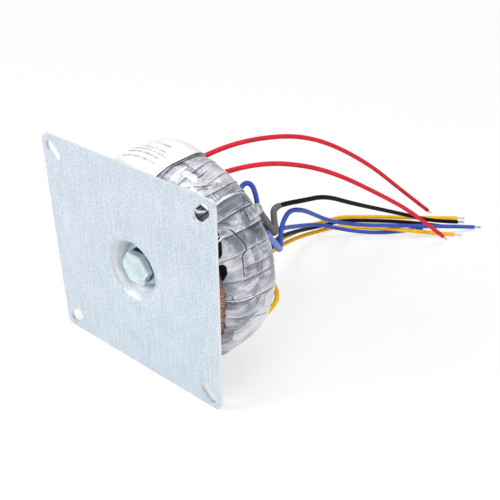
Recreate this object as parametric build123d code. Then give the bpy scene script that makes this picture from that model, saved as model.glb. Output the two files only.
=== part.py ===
from build123d import *
from math import cos, pi, radians, sin, sqrt, tan
import os

# Toroidal mains transformer on a square steel mounting plate, with eight flying leads.
# Millimetres. The origin is the centre of the slot pattern on the plate's outer face,
# +X to the right, +Y away from that face into the winding, +Z up.
# The plate stands on its bottom edge and the ring-shaped winding lies behind it.

# Mounting plate
plate_side = 95.0
plate_thickness = 1.5
plate_corner_radius = 3.0
slot_edge_distance = 6.5
slot_width = 5.5
slot_length = 10.0

# Dish pressed into the middle of the plate
dish_mouth_radius = 17.5
dish_lip_radius = 13.8
dish_lip_depth = 0.8
dish_floor_radius = 9.6
dish_depth = 7.4
dish_bend_radius = 1.8
dish_join_margin = 4.0

# Centre bolt and nut
bolt_diameter = 8.0
bolt_length = 45.0
bolt_hole_clearance = 0.4
bolt_tip_chamfer = 0.8
head_across_flats = 13.0
head_height = 5.3
nut_across_flats = 13.0
nut_height = 6.5
corner_bevel = 30.0
face_share = 0.53
thread_clearance = 0.05

# Washers under the nut
flat_washer_radius = 8.0
flat_washer_thickness = 1.6
spring_washer_radius = 6.9
spring_washer_thickness = 2.0
spring_washer_slit = 1.6

# Pads and the dished washer behind the winding
front_pad_radius = 38.0
front_pad_thickness = 2.5
front_pad_hole_margin = 1.5
rear_pad_radius = 31.0
rear_pad_thickness = 2.0
rear_pad_hole_margin = 1.0
rear_washer_radius = 28.0
rear_washer_thickness = 1.5
rear_washer_depth = 6.5
rear_washer_mouth_radius = 15.0
rear_washer_lip_radius = 12.8
rear_washer_lip_depth = 0.7
rear_washer_floor_radius = 9.4
rear_washer_bend_radius = 1.8

# Ring-shaped winding
winding_radius = 46.0
winding_height = 36.0
bore_radius = 17.0
outer_round_share = 0.45
inner_round_share = 0.31
winding_x = 3.5

# Layers of the ring, from the outside in
wrap_thickness = 0.8
band_count = 24
band_step = 0.4
layer_clearance = 0.15
secondary_thickness = 2.2
turn_count = 48
turn_chords = 3
turn_relief = 0.45
insulation_thickness = 0.5
core_share = 0.43
core_insulation_thickness = 0.8
core_corner_radius = 1.2
hidden_chords = 1

# Place where the film leaves the copper open to view
window_first_angle = -26.0
window_last_angle = 21.0
window_reach = 12.5
window_depth = 3.0

# Padding over the joints of the leads, and the paper label on it
label_middle_angle = 101.0
label_half_angle = 21.0
label_rise = 2.0
label_seat = 0.3
label_end_margin = 3.0
label_border = 2.0
label_depth = 10.0
label_thickness = 0.2
label_clearance = 0.1

# Leads
lead_diameter = 2.1
strand_diameter = 1.0
strand_length = 4.5
sleeve_thickness = 0.35
sleeve_clearance = 0.05
opening_run_count = 2
last_run_share = 0.5
exit_clearance = 0.1
bend_share = 0.45

# Values worked out from the sizes above
floor_z = -plate_side / 2
slot_spacing = plate_side - 2 * slot_edge_distance
bolt_hole_radius = bolt_diameter / 2 + bolt_hole_clearance
winding_front = plate_thickness + front_pad_thickness
winding_rear = winding_front + winding_height
winding_z = floor_z + winding_radius + band_step / 2
rear_washer_back = winding_rear + rear_pad_thickness + rear_washer_thickness
nut_stack_y = rear_washer_back - rear_washer_depth
outer_corner_radius = outer_round_share * (winding_radius - bore_radius)
inner_corner_radius = inner_round_share * (winding_radius - bore_radius)
secondary_inset = wrap_thickness + band_step / 2 + layer_clearance
insulation_inset = secondary_inset + secondary_thickness + layer_clearance
primary_inset = insulation_inset + insulation_thickness + layer_clearance
core_inset = (1 - core_share) / 2 * (winding_radius - bore_radius)
core_insulation_inset = core_inset - layer_clearance - core_insulation_thickness
primary_thickness = core_insulation_inset - layer_clearance - primary_inset
sleeve_radius = lead_diameter / 2 + sleeve_clearance + sleeve_thickness

# Routes of the leads, from the winding to the end of the insulation
lead_routes = {
    "lead_red_1": [
        (6.6, 38.4, 38.9),
        (7.8, 49.0, 39.7),
        (10.2, 69.0, 37.5),
        (13.2, 92.0, 31.7),
        (16.0, 115.0, 20.4),
        (19.5, 145.0, -0.5),
        (23.0, 172.0, -24.0),
        (29.8, 193.3, -43.6),
    ],
    "lead_red_2": [
        (18.0, 38.8, 35.3),
        (20.7, 49.0, 35.3),
        (24.9, 69.0, 30.3),
        (30.3, 94.0, 18.7),
        (37.0, 125.0, -2.7),
        (43.2, 153.0, -23.7),
        (50.7, 173.1, -43.6),
    ],
    "lead_black_1": [
        (35.5, 38.2, 24.4),
        (36.0, 41.0, 19.7),
        (38.5, 42.6, 15.3),
        (38.2, 45.0, 11.3),
        (36.3, 48.0, 11.4),
        (34.4, 49.1, 15.6),
        (32.2, 51.6, 18.6),
        (32.9, 59.0, 17.7),
        (33.5, 70.0, 14.8),
        (32.3, 88.0, 9.3),
        (31.6, 111.5, -4.5),
        (31.2, 143.6, -22.0),
        (33.2, 170.5, -36.5),
        (38.8, 184.8, -43.7),
        (47.4, 195.8, -45.8),
    ],
    "lead_blue_1": [
        (39.6, 38.4, 15.1),
        (39.8, 41.0, 10.9),
        (40.9, 42.9, 8.1),
        (40.6, 45.0, 4.8),
        (38.9, 48.0, 4.3),
        (37.3, 50.0, 8.7),
        (35.3, 54.0, 12.1),
        (33.3, 61.0, 13.9),
        (31.6, 72.0, 8.8),
        (20.9, 94.5, -6.5),
        (12.1, 118.0, -23.0),
        (8.4, 138.4, -35.5),
        (13.7, 150.9, -40.3),
        (29.5, 161.8, -39.7),
        (43.7, 177.9, -41.9),
        (57.2, 196.4, -45.8),
    ],
    "lead_blue_2": [
        (26.0, 38.5, 30.7),
        (25.4, 41.2, 32.0),
        (27.3, 43.8, 31.0),
        (30.5, 42.6, 27.3),
        (31.6, 42.4, 21.2),
        (33.0, 43.5, 14.8),
        (32.1, 49.5, 8.0),
        (29.6, 60.0, 4.1),
        (14.0, 88.4, -13.5),
        (2.3, 114.6, -28.5),
        (-2.4, 134.5, -38.5),
        (5.4, 144.4, -43.1),
        (13.5, 153.9, -46.3),
        (24.0, 162.6, -46.3),
        (30.0, 170.4, -46.3),
        (35.5, 177.9, -46.3),
    ],
    "lead_black_2": [
        (40.2, 39.6, 7.3),
        (24.8, 62.1, -4.0),
        (8.5, 94.0, -21.5),
        (-3.6, 123.7, -37.0),
        (-4.0, 141.7, -42.8),
        (-3.6, 156.6, -46.3),
        (7.0, 165.7, -46.3),
        (22.4, 176.6, -46.3),
        (33.9, 182.9, -46.3),
        (42.9, 186.9, -46.3),
    ],
    "lead_yellow_1": [
        (38.0, 39.9, 3.1),
        (18.6, 71.6, -11.7),
        (-1.6, 108.9, -32.5),
        (-11.0, 136.6, -43.5),
        (-10.4, 150.7, -46.3),
        (-5.4, 161.1, -46.3),
        (5.4, 170.1, -46.3),
        (19.7, 180.9, -46.3),
        (33.2, 190.8, -46.3),
        (44.8, 200.4, -46.3),
    ],
    "lead_yellow_2": [
        (39.2, 39.2, -24.2),
        (39.7, 42.0, -22.6),
        (40.1, 45.0, -19.9),
        (36.8, 48.0, -17.3),
        (30.6, 50.5, -15.6),
        (26.9, 53.0, -10.6),
        (24.5, 60.0, -9.3),
        (18.0, 73.5, -16.0),
        (7.3, 93.4, -27.0),
        (-2.9, 117.6, -38.5),
        (-5.6, 137.6, -45.5),
        (-1.5, 150.7, -46.3),
        (9.0, 156.7, -46.3),
        (16.9, 160.4, -45.2),
        (26.5, 160.9, -42.4),
        (36.7, 166.8, -42.6),
        (44.4, 177.5, -46.0),
        (52.3, 183.1, -46.3),
    ],
}

# Leads that wear a sleeve where they leave the winding, with the number of runs it covers
sleeve_run_count = {"lead_black_1": 7, "lead_blue_1": 4}


def along_y(shape, y):
    """Turns a shape made along +Z to point along +Y, with its base at the given y."""
    return Pos(0, y, 0) * Rot(-90, 0, 0) * shape


def ring_section(inset, chords=0):
    """Half section of the ring in the XY plane, its outline moved inwards by inset.

    Its corners are true arcs, or a few equal chords for the layers out of sight.
    """
    share = inset / core_inset
    outer_round = outer_corner_radius + (core_corner_radius - outer_corner_radius) * share
    inner_round = inner_corner_radius + (core_corner_radius - inner_corner_radius) * share
    front = winding_front + inset
    rear = winding_rear - inset
    outer = winding_radius - inset
    inner = bore_radius + inset
    if chords == 0:
        outline = FilletPolyline(
            (inner, front),
            (outer, front),
            (outer, rear),
            (inner, rear),
            radius=[inner_round, outer_round, outer_round, inner_round],
            close=True,
        )
        return make_face(outline)
    corners = [
        (outer - outer_round, rear - outer_round, outer_round, 0),
        (inner + inner_round, rear - inner_round, inner_round, 90),
        (inner + inner_round, front + inner_round, inner_round, 180),
        (outer - outer_round, front + outer_round, outer_round, 270),
    ]
    points = []
    for x, y, rounding, first in corners:
        for chord in range(chords + 1):
            angle = radians(first + 90 * chord / chords)
            points.append((x + rounding * cos(angle), y + rounding * sin(angle)))
    return make_face(Polyline(*points, close=True))


def at_ring(shape, angle=0):
    """Moves a shape made about the Y axis to the ring, turned from +X towards +Z."""
    return Pos(winding_x, 0, winding_z) * Rot(0, -angle, 0) * shape


def ring_layer(inset, thickness):
    """Closed tubular layer of the ring between two insets."""
    outside = revolve(ring_section(inset, hidden_chords), Axis.Y, 360)
    inside = revolve(ring_section(inset + thickness, hidden_chords), Axis.Y, 360)
    return at_ring(outside - inside)


def ring_core():
    """Strip-wound core, a solid ring with its edges just broken."""
    return at_ring(revolve(ring_section(core_inset, hidden_chords), Axis.Y, 360))


def ring_sector(first_angle, last_angle, inner, outer, front, rear):
    """Piece of a flat ring between two angles, used to cut the winding's layers."""
    section = Pos((inner + outer) / 2, (front + rear) / 2) * Rectangle(outer - inner, rear - front)
    turned = revolve(section, Axis.Y, last_angle - first_angle)
    return at_ring(turned, last_angle)


def dished_disc(join, mouth, lip, lip_depth, floor_radius, depth, hole, thickness, bend):
    """Sheet pressed into a dish towards +Y, its outer face at y = 0 round the rim."""
    middle = thickness / 2
    profile = FilletPolyline(
        (join, middle),
        (mouth, middle),
        (lip, lip_depth + middle),
        (floor_radius, depth + middle),
        (hole, depth + middle),
        radius=[4 * bend, bend, bend],
    )
    return revolve(trace(profile, thickness), Axis.Y, 360)


def mounting_plate():
    """Square sheet with rounded corners, four corner slots and the pressed dish."""
    outline = RectangleRounded(plate_side, plate_side, plate_corner_radius)
    join = dish_mouth_radius + dish_join_margin
    outline -= Circle(join)
    for step in range(4):
        angle = 45 + 90 * step
        reach = slot_spacing / sqrt(2)
        outline -= Rot(0, 0, angle) * Pos(reach, 0) * SlotOverall(slot_length, slot_width)
    sheet = along_y(extrude(outline, plate_thickness), 0)
    dish = dished_disc(
        join,
        dish_mouth_radius,
        dish_lip_radius,
        dish_lip_depth,
        dish_floor_radius,
        dish_depth,
        bolt_hole_radius,
        plate_thickness,
        dish_bend_radius,
    )
    return sheet + dish


def hexagon_block(across_flats, height, both_ends):
    """Hexagonal block along +Z with its corners turned down at one or both ends."""
    corner = across_flats / sqrt(3)
    face_radius = face_share * across_flats
    drop = (corner - face_radius) * tan(radians(corner_bevel))
    block = extrude(RegularPolygon(corner, 6), height)
    if both_ends:
        lower_end = [(face_radius, 0), (corner, drop)]
    else:
        lower_end = [(corner, 0)]
    upper_end = [(corner, height - drop), (face_radius, height)]
    turned = Polyline((0, 0), *lower_end, *upper_end, (0, height), close=True)
    return block & revolve(Plane.XZ * make_face(turned), Axis.Z, 360)


def centre_bolt():
    """Hexagon bolt, its head in the dish and its shank through the ring."""
    head = hexagon_block(head_across_flats, head_height, False)
    head = along_y(Rot(180, 0, 0) * head, dish_depth)
    shank = Cylinder(bolt_diameter / 2, bolt_length, align=(Align.CENTER, Align.CENTER, Align.MIN))
    shank = chamfer(shank.edges().sort_by(Axis.Z)[-1], bolt_tip_chamfer)
    return head + along_y(shank, dish_depth)


def round_washer(radius, hole_radius, thickness):
    """Flat ring of the given size along +Z."""
    return extrude(Circle(radius) - Circle(hole_radius), thickness)


def hex_nut():
    """Hexagon nut at the back of the stack."""
    block = hexagon_block(nut_across_flats, nut_height, True)
    bore = extrude(Circle(bolt_diameter / 2 + thread_clearance), nut_height)
    seat = nut_stack_y + flat_washer_thickness + spring_washer_thickness
    return along_y(block - bore, seat)


def spring_washer():
    """Split washer between the flat washer and the nut."""
    ring = round_washer(spring_washer_radius, bolt_hole_radius, spring_washer_thickness)
    slit = Box(spring_washer_slit, 2 * spring_washer_radius, 3 * spring_washer_thickness)
    slit = Pos(0, spring_washer_radius) * slit
    return along_y(ring - slit, nut_stack_y + flat_washer_thickness)


def flat_washer():
    """Plain washer on the floor of the rear dish."""
    ring = round_washer(flat_washer_radius, bolt_hole_radius, flat_washer_thickness)
    return along_y(ring, nut_stack_y)


def front_pad():
    """Rubber ring between the plate and the winding, open round the dish."""
    ring = round_washer(front_pad_radius, dish_mouth_radius + front_pad_hole_margin, front_pad_thickness)
    return along_y(ring, plate_thickness)


def rear_pad():
    """Rubber ring between the winding and the dished washer."""
    ring = round_washer(rear_pad_radius, rear_washer_mouth_radius + rear_pad_hole_margin, rear_pad_thickness)
    return along_y(ring, winding_rear)


def rear_dish_washer():
    """Round dished washer that clamps the ring from behind, its dish in the bore."""
    dish = dished_disc(
        rear_washer_radius,
        rear_washer_mouth_radius,
        rear_washer_lip_radius,
        rear_washer_lip_depth,
        rear_washer_floor_radius,
        rear_washer_depth,
        bolt_hole_radius,
        rear_washer_thickness,
        rear_washer_bend_radius,
    )
    return Pos(0, rear_washer_back, 0) * Rot(180, 0, 0) * dish


def secondary_winding():
    """Copper layer whose turns stand as ridges all round the ring."""
    half = []
    for step in range(turn_count + 1):
        relief = turn_relief if step % 2 == 0 else 0
        section = ring_section(secondary_inset + relief, turn_chords)
        half.append(Rot(0, 180 * step / turn_count, 0) * section)
    turns = loft(half, ruled=True)
    turns += Rot(0, 180, 0) * turns
    hollow = ring_section(secondary_inset + secondary_thickness, hidden_chords)
    return at_ring(turns - revolve(hollow, Axis.Y, 360))


def outer_wrap():
    """Overlapping bands of film: each rises from one edge to the other and steps down."""
    width = 360 / band_count
    middle = radians(width / 2)
    shift = band_step / 2 / sin(middle)
    band = revolve(ring_section(0), Axis.Y, width)
    band = Pos(shift * sin(middle), 0, shift * cos(middle)) * band
    bands = [Rot(0, width * step, 0) * band for step in range(band_count)]
    hollow = ring_section(wrap_thickness + band_step / 2, turn_chords)
    wrap = at_ring(bands[0] + bands[1:] - revolve(hollow, Axis.Y, 360))
    window = ring_sector(
        window_first_angle,
        window_last_angle,
        winding_radius - window_reach,
        winding_radius + band_step,
        winding_front - band_step,
        winding_front + window_depth,
    )
    return wrap - window - [lead_opening(name) for name in lead_routes]


def bulge(lift, first_angle, last_angle, margin):
    """Part of a ring that stands proud of the winding between two angles."""
    half = radians(label_half_angle)
    base = winding_radius + band_step / 2 + label_seat
    chord = base * sin(half)
    rise = base * (1 - cos(half)) + label_rise
    bulge_radius = (chord ** 2 + rise ** 2) / (2 * rise)
    away = base + label_rise - bulge_radius
    round_radius = outer_corner_radius + lift
    depth = outer_corner_radius + label_depth
    outline = FilletPolyline(
        (bulge_radius - depth, winding_front - lift),
        (bulge_radius + lift, winding_front - lift),
        (bulge_radius + lift, winding_rear + lift),
        (bulge_radius - depth, winding_rear + lift),
        radius=[0, round_radius, round_radius, 0],
        close=True,
    )
    ring = Pos(away, 0, 0) * revolve(make_face(outline), Axis.Y, 360)
    ring = at_ring(ring, label_middle_angle)
    clip = ring_sector(
        first_angle,
        last_angle,
        winding_radius - label_depth,
        2 * winding_radius,
        winding_front + margin,
        winding_rear - margin,
    )
    return ring & clip


def splice_pad():
    """Padding over the joints between the windings and the leads, under the label."""
    first = label_middle_angle - label_half_angle
    last = label_middle_angle + label_half_angle
    pad = bulge(0, first, last, label_end_margin + label_border)
    under = revolve(ring_section(-band_step / 2 - label_clearance), Axis.Y, 360)
    return pad - at_ring(under)


def rating_label():
    """Plain paper label laid over the padding."""
    first = label_middle_angle - label_half_angle
    last = label_middle_angle + label_half_angle
    outside = bulge(label_clearance + label_thickness, first, last, label_end_margin)
    inside = bulge(label_clearance, first - 1, last + 1, 0)
    return outside - inside


def bend_radii(points):
    """Radius at each corner of a route, as large as its two runs allow."""
    radii = []
    for before, corner, after in zip(points, points[1:], points[2:]):
        arriving = Vector(*corner) - Vector(*before)
        leaving = Vector(*after) - Vector(*corner)
        turn = radians(arriving.get_angle(leaving))
        shorter = min(arriving.length, leaving.length)
        radii.append(bend_share * shorter / tan(turn / 2))
    return radii


def lead_path(points):
    """Straight runs joined by tangent arcs."""
    return FilletPolyline(*points, radius=bend_radii(points))


def tube(path, radius):
    """Round solid of the given radius along a path."""
    start = Plane(origin=path @ 0, z_dir=path % 0)
    return sweep(start * Circle(radius), path=path)


def bare_strands(path):
    """Stripped, tinned end of a lead."""
    start = Plane(origin=path @ 1, z_dir=path % 1)
    return extrude(start * Circle(strand_diameter / 2), strand_length)


def lead_start(points, runs):
    """First runs of a lead's path with the lead's own bends, the last run only in part."""
    corners = [Vector(*point) for point in points[: runs + 1]]
    corners[-1] = corners[-2] + (corners[-1] - corners[-2]) * last_run_share
    return FilletPolyline(*corners, radius=bend_radii(points)[: runs - 1])


def lead_sleeve(name):
    """Sleeve over the first runs of a lead."""
    path = lead_start(lead_routes[name], sleeve_run_count[name])
    return tube(path, sleeve_radius) - tube(path, sleeve_radius - sleeve_thickness)


def lead_opening(name):
    """Space that a lead, with its sleeve if it has one, takes out of the film."""
    radius = sleeve_radius if name in sleeve_run_count else lead_diameter / 2
    return tube(lead_start(lead_routes[name], opening_run_count), radius + exit_clearance)


def lead_colour(name):
    """Name of a lead without its first word, such as red_1."""
    return name.removeprefix("lead_")


os.makedirs("parts", exist_ok=True)
nodes = {
    "mounting_plate": mounting_plate(),
    "centre_bolt": centre_bolt(),
    "front_pad": front_pad(),
    "rear_pad": rear_pad(),
    "rear_dish_washer": rear_dish_washer(),
    "flat_washer": flat_washer(),
    "spring_washer": spring_washer(),
    "hex_nut": hex_nut(),
    "core": ring_core(),
    "core_insulation": ring_layer(core_insulation_inset, core_insulation_thickness),
    "primary_winding": ring_layer(primary_inset, primary_thickness),
    "winding_insulation": ring_layer(insulation_inset, insulation_thickness),
    "secondary_winding": secondary_winding(),
    "outer_wrap": outer_wrap(),
    "splice_pad": splice_pad(),
    "rating_label": rating_label(),
}
for name, points in lead_routes.items():
    path = lead_path(points)
    nodes[name] = tube(path, lead_diameter / 2)
    nodes["strands_" + lead_colour(name)] = bare_strands(path)
    if name in sleeve_run_count:
        nodes["sleeve_" + lead_colour(name)] = lead_sleeve(name)
    full = pi * (lead_diameter / 2) ** 2 * path.length
    print(name, "length", round(path.length, 1), "radii", [round(r, 1) for r in bend_radii(points)])
    print("  volume", round(nodes[name].volume, 1), "section times length", round(full, 1))
for name, shape in nodes.items():
    export_step(shape, "parts/" + name + ".step")
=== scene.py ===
"""Toroidal transformer on its mounting plate: finishes, film, copper turns, leads and stage.

The packed model is the frame. Lengths are in metres, +Y runs from the plate's outer face
into the winding, +Z is up, and the plate stands on the floor on its bottom edge.
"""

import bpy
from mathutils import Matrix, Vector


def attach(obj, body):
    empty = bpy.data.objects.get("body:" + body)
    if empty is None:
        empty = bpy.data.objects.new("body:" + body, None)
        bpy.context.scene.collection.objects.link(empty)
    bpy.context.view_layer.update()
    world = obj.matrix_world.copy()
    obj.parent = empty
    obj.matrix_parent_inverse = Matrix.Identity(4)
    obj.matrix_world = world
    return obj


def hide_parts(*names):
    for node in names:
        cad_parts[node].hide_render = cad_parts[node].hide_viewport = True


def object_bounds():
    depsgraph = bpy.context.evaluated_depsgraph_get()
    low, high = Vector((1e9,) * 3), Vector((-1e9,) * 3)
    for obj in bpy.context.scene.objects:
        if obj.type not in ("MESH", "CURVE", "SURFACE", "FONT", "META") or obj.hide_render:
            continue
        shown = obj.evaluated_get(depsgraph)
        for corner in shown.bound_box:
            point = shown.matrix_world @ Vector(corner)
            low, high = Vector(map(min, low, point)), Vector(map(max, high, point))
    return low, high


bl_info = {
    "name": "Toroidal Transformer",
    "version": (1, 0, 0),
    "blender": (4, 5, 0),
    "location": "View3D > Sidebar > Transformer",
    "description": "Dresses a toroidal transformer and sets its studio",
    "category": "Object",
}

from math import cos, pi, radians, sin

import bpy
import numpy as np
from bpy.props import FloatProperty, FloatVectorProperty, IntProperty, PointerProperty
from mathutils import Matrix, Vector

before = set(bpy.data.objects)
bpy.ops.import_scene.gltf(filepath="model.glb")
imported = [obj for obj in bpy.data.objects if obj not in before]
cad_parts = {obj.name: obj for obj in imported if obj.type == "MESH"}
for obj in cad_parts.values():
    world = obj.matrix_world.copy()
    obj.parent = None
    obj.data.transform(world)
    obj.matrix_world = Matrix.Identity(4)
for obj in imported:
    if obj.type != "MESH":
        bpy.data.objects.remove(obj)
cad_box = [list(corner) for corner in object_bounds()]
MM = 0.001

# Routes of the leads in millimetres, the same points as the solid leads follow
ROUTES = {
    "red_1": [
        (6.6, 38.4, 38.9), (7.8, 49.0, 39.7), (10.2, 69.0, 37.5), (13.2, 92.0, 31.7),
        (16.0, 115.0, 20.4), (19.5, 145.0, -0.5), (23.0, 172.0, -24.0), (29.8, 193.3, -43.6),
    ],
    "red_2": [
        (18.0, 38.8, 35.3), (20.7, 49.0, 35.3), (24.9, 69.0, 30.3), (30.3, 94.0, 18.7),
        (37.0, 125.0, -2.7), (43.2, 153.0, -23.7), (50.7, 173.1, -43.6),
    ],
    "black_1": [
        (35.5, 38.2, 24.4), (36.0, 41.0, 19.7), (38.5, 42.6, 15.3), (38.2, 45.0, 11.3),
        (36.3, 48.0, 11.4), (34.4, 49.1, 15.6), (32.2, 51.6, 18.6), (32.9, 59.0, 17.7),
        (33.5, 70.0, 14.8), (32.3, 88.0, 9.3), (31.6, 111.5, -4.5), (31.2, 143.6, -22.0),
        (33.2, 170.5, -36.5), (38.8, 184.8, -43.7), (47.4, 195.8, -45.8),
    ],
    "blue_1": [
        (39.6, 38.4, 15.1), (39.8, 41.0, 10.9), (40.9, 42.9, 8.1), (40.6, 45.0, 4.8),
        (38.9, 48.0, 4.3), (37.3, 50.0, 8.7), (35.3, 54.0, 12.1), (33.3, 61.0, 13.9),
        (31.6, 72.0, 8.8), (20.9, 94.5, -6.5), (12.1, 118.0, -23.0), (8.4, 138.4, -35.5),
        (13.7, 150.9, -40.3), (29.5, 161.8, -39.7), (43.7, 177.9, -41.9), (57.2, 196.4, -45.8),
    ],
    "blue_2": [
        (26.0, 38.5, 30.7), (25.4, 41.2, 32.0), (27.3, 43.8, 31.0), (30.5, 42.6, 27.3),
        (31.6, 42.4, 21.2), (33.0, 43.5, 14.8), (32.1, 49.5, 8.0), (29.6, 60.0, 4.1),
        (14.0, 88.4, -13.5), (2.3, 114.6, -28.5), (-2.4, 134.5, -38.5), (5.4, 144.4, -43.1),
        (13.5, 153.9, -46.3), (24.0, 162.6, -46.3), (30.0, 170.4, -46.3), (35.5, 177.9, -46.3),
    ],
    "black_2": [
        (40.2, 39.6, 7.3), (24.8, 62.1, -4.0), (8.5, 94.0, -21.5), (-3.6, 123.7, -37.0),
        (-4.0, 141.7, -42.8), (-3.6, 156.6, -46.3), (7.0, 165.7, -46.3), (22.4, 176.6, -46.3),
        (33.9, 182.9, -46.3), (42.9, 186.9, -46.3),
    ],
    "yellow_1": [
        (38.0, 39.9, 3.1), (18.6, 71.6, -11.7), (-1.6, 108.9, -32.5), (-11.0, 136.6, -43.5),
        (-10.4, 150.7, -46.3), (-5.4, 161.1, -46.3), (5.4, 170.1, -46.3), (19.7, 180.9, -46.3),
        (33.2, 190.8, -46.3), (44.8, 200.4, -46.3),
    ],
    "yellow_2": [
        (39.2, 39.2, -24.2), (39.7, 42.0, -22.6), (40.1, 45.0, -19.9), (36.8, 48.0, -17.3),
        (30.6, 50.5, -15.6), (26.9, 53.0, -10.6), (24.5, 60.0, -9.3), (18.0, 73.5, -16.0),
        (7.3, 93.4, -27.0), (-2.9, 117.6, -38.5), (-5.6, 137.6, -45.5), (-1.5, 150.7, -46.3),
        (9.0, 156.7, -46.3), (16.9, 160.4, -45.2), (26.5, 160.9, -42.4), (36.7, 166.8, -42.6),
        (44.4, 177.5, -46.0), (52.3, 183.1, -46.3),
    ],
}
LEAD_ROUTES = {
    name: [tuple(round(part * MM, 6) for part in point) for point in points]
    for name, points in ROUTES.items()
}
# Runs of a lead under its sleeve, the last one only half
SLEEVE_RUNS = {"black_1": 7, "blue_1": 4}


def length(default, note):
    """Length property in metres."""
    return FloatProperty(name=note, default=default, unit="LENGTH", precision=5)


def arc(default, note):
    """Angle property, its default given in degrees."""
    return FloatProperty(name=note, default=radians(default), subtype="ANGLE")


def level(default, note):
    """Plain number that isn't below zero."""
    return FloatProperty(name=note, default=default, min=0)


def colour(default, note):
    """Colour property."""
    return FloatVectorProperty(name=note, default=default, subtype="COLOR", min=0, max=1)


class WindingSizes(bpy.types.PropertyGroup):
    """Outer size and place of the ring-shaped winding."""

    radius: length(46.0 * MM, "Outer radius of the film")
    height: length(36.0 * MM, "Size of the ring along the bolt")
    bore: length(17.0 * MM, "Radius of the hole through the ring")
    outer_round: length(13.0 * MM, "Corner radius at the rim")
    inner_round: length(9.0 * MM, "Corner radius at the bore")
    front: length(4.0 * MM, "Distance of the ring from the plate's outer face")
    centre_x: length(3.5 * MM, "Sideways place of the ring's middle")
    centre_z: length(-1.3 * MM, "Height of the ring's middle")


class FilmSettings(bpy.types.PropertyGroup):
    """Bands of film wound over the ring."""

    bands: IntProperty(name="Turns of film on the far side", default=20, min=8)
    rise: length(0.36 * MM, "Height of each band's edge over the next band")
    wrinkle: length(0.16 * MM, "Height of the wrinkles in the film")
    dark: colour((0.07, 0.075, 0.095), "Film where dark windings show through")
    middle: colour((0.225, 0.24, 0.29), "Usual colour of the film")
    # Random lighter film, and also the painted highlights on folds, creases and the top of the
    # ring
    light: colour((0.66, 0.66, 0.71), "Film where it stands off and looks milky")


class CopperSettings(bpy.types.PropertyGroup):
    """Turns of enamelled wire seen where the film is open."""

    wire: length(0.95 * MM, "Distance from turn to turn at the rim")
    inset: length(1.15 * MM, "Depth of the wire below the film's surface")
    lean: level(0.30, "Slant of the turns")
    enamel: colour((0.46, 0.08, 0.045), "Enamelled copper")
    # Painted highlight: the brighter copper laid on the wires' crests
    bare: colour((1.0, 0.62, 0.52), "Brighter copper on the crests")


class MetalSettings(bpy.types.PropertyGroup):
    """Plated steel of the plate and the fasteners."""

    zinc: colour((0.49, 0.565, 0.635), "Plate and dished washer")
    zinc_pale: colour((0.70, 0.775, 0.84), "Lighter grains of the plate")
    # Painted highlight: the bright colour laid along the sheet's cut edges
    edge_highlight: colour((0.80, 0.85, 0.89), "Bright edge of the sheet")
    pressed: colour((0.94, 0.90, 0.93), "Faint rings in the dish")
    bolt: colour((0.72, 0.86, 0.90), "Bolt and nut")
    washer: colour((0.50, 0.52, 0.54), "Plain and spring washer")
    sheet: length(1.5 * MM, "Thickness of the plate")
    dish_clear: length(24.0 * MM, "Radius outside which cut edges lie")
    ring_pitch: length(1.7 * MM, "Distance from ring to ring in the dish")
    head_front: length(2.1 * MM, "Distance of the bolt's head from the plate's face")
    head_back: length(7.4 * MM, "Distance of the head's foot from the plate's face")
    thread_pitch: length(1.25 * MM, "Distance from thread to thread")
    thread_from: length(47.5 * MM, "Where the seen thread begins")
    thread_to: length(51.0 * MM, "Where the thread fades out before the tip")


class LabelSettings(bpy.types.PropertyGroup):
    """Label over the padded joints of the leads."""

    middle: arc(101, "Place of the label's middle, from +X towards +Z")
    half: arc(21, "Half of the arc that the padding fills")
    margin: length(3.2 * MM, "Distance of the label's sides from the ring's faces")
    padding: length(0.5 * MM, "Height of the padding at its ends")
    bulge: length(2.0 * MM, "Extra height of the padding in its middle")
    paper: length(0.15 * MM, "Thickness of the label")


class TapeSettings(bpy.types.PropertyGroup):
    """Tab over the blue lead, and the loose tail of film next to it."""

    half_length: length(5.2 * MM, "Half of the tab across the lead")
    half_width: length(2.4 * MM, "Half of the tab along the lead")
    over_lead: length(1.75 * MM, "Height of the tab over the lead's middle")
    gap: length(0.35 * MM, "Distance of the tab's ends from the film")
    fold: length(2.1 * MM, "Half width of the hump over the lead")
    tape: length(0.15 * MM, "Thickness of the tab")
    tail: length(0.12 * MM, "Thickness of the tail")
    tail_lift: length(2.0 * MM, "Height of the tail's free end")
    tail_middle: arc(39.6, "Place of the tail round the ring")
    tail_half: level(0.052, "Half of the tail's arc in radians")


class LeadSettings(bpy.types.PropertyGroup):
    """Insulated leads and their stripped ends."""

    diameter: length(2.1 * MM, "Outside of the insulation")
    strand: length(0.26 * MM, "One strand of the bare end")
    bare_length: length(4.4 * MM, "Length of the stripped end")
    red: colour((0.82, 0.036, 0.06), "Red insulation")
    black: colour((0.012, 0.012, 0.014), "Black insulation")
    blue: colour((0.065, 0.12, 0.54), "Blue insulation")
    yellow: colour((1.0, 0.57, 0.02), "Yellow insulation")
    grey_sleeve: colour((0.19, 0.17, 0.18), "Sleeve on the black lead")
    blue_sleeve: colour((0.25, 0.34, 0.70), "Sleeve on the blue lead")


class StageSettings(bpy.types.PropertyGroup):
    """Floor and lamps."""

    floor: colour((0.95, 0.95, 0.96), "Paper under the object")
    lamp: level(1.0, "Level of the lamps")
    whiteness: level(0.68, "Share of plain white in the seen floor")
    reach: level(3.0, "Half the floor's side")
    sky: level(0.33, "Light from all round")


def mesh_piece(name, points, faces, material, smooth_angle=None):
    """Piece of the object from arrays of points and faces, riding on the frame."""
    mesh = bpy.data.meshes.new(name)
    mesh.from_pydata(points.reshape(-1, 3).tolist(), [], faces.tolist())
    mesh.polygons.foreach_set("use_smooth", np.ones(len(mesh.polygons), bool))
    mesh.materials.append(material)
    mesh.update()
    if smooth_angle is not None:
        mesh.set_sharp_from_angle(angle=smooth_angle)
    piece = bpy.data.objects.new(name, mesh)
    bpy.context.scene.collection.objects.link(piece)
    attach(piece, "root")
    return piece


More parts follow.
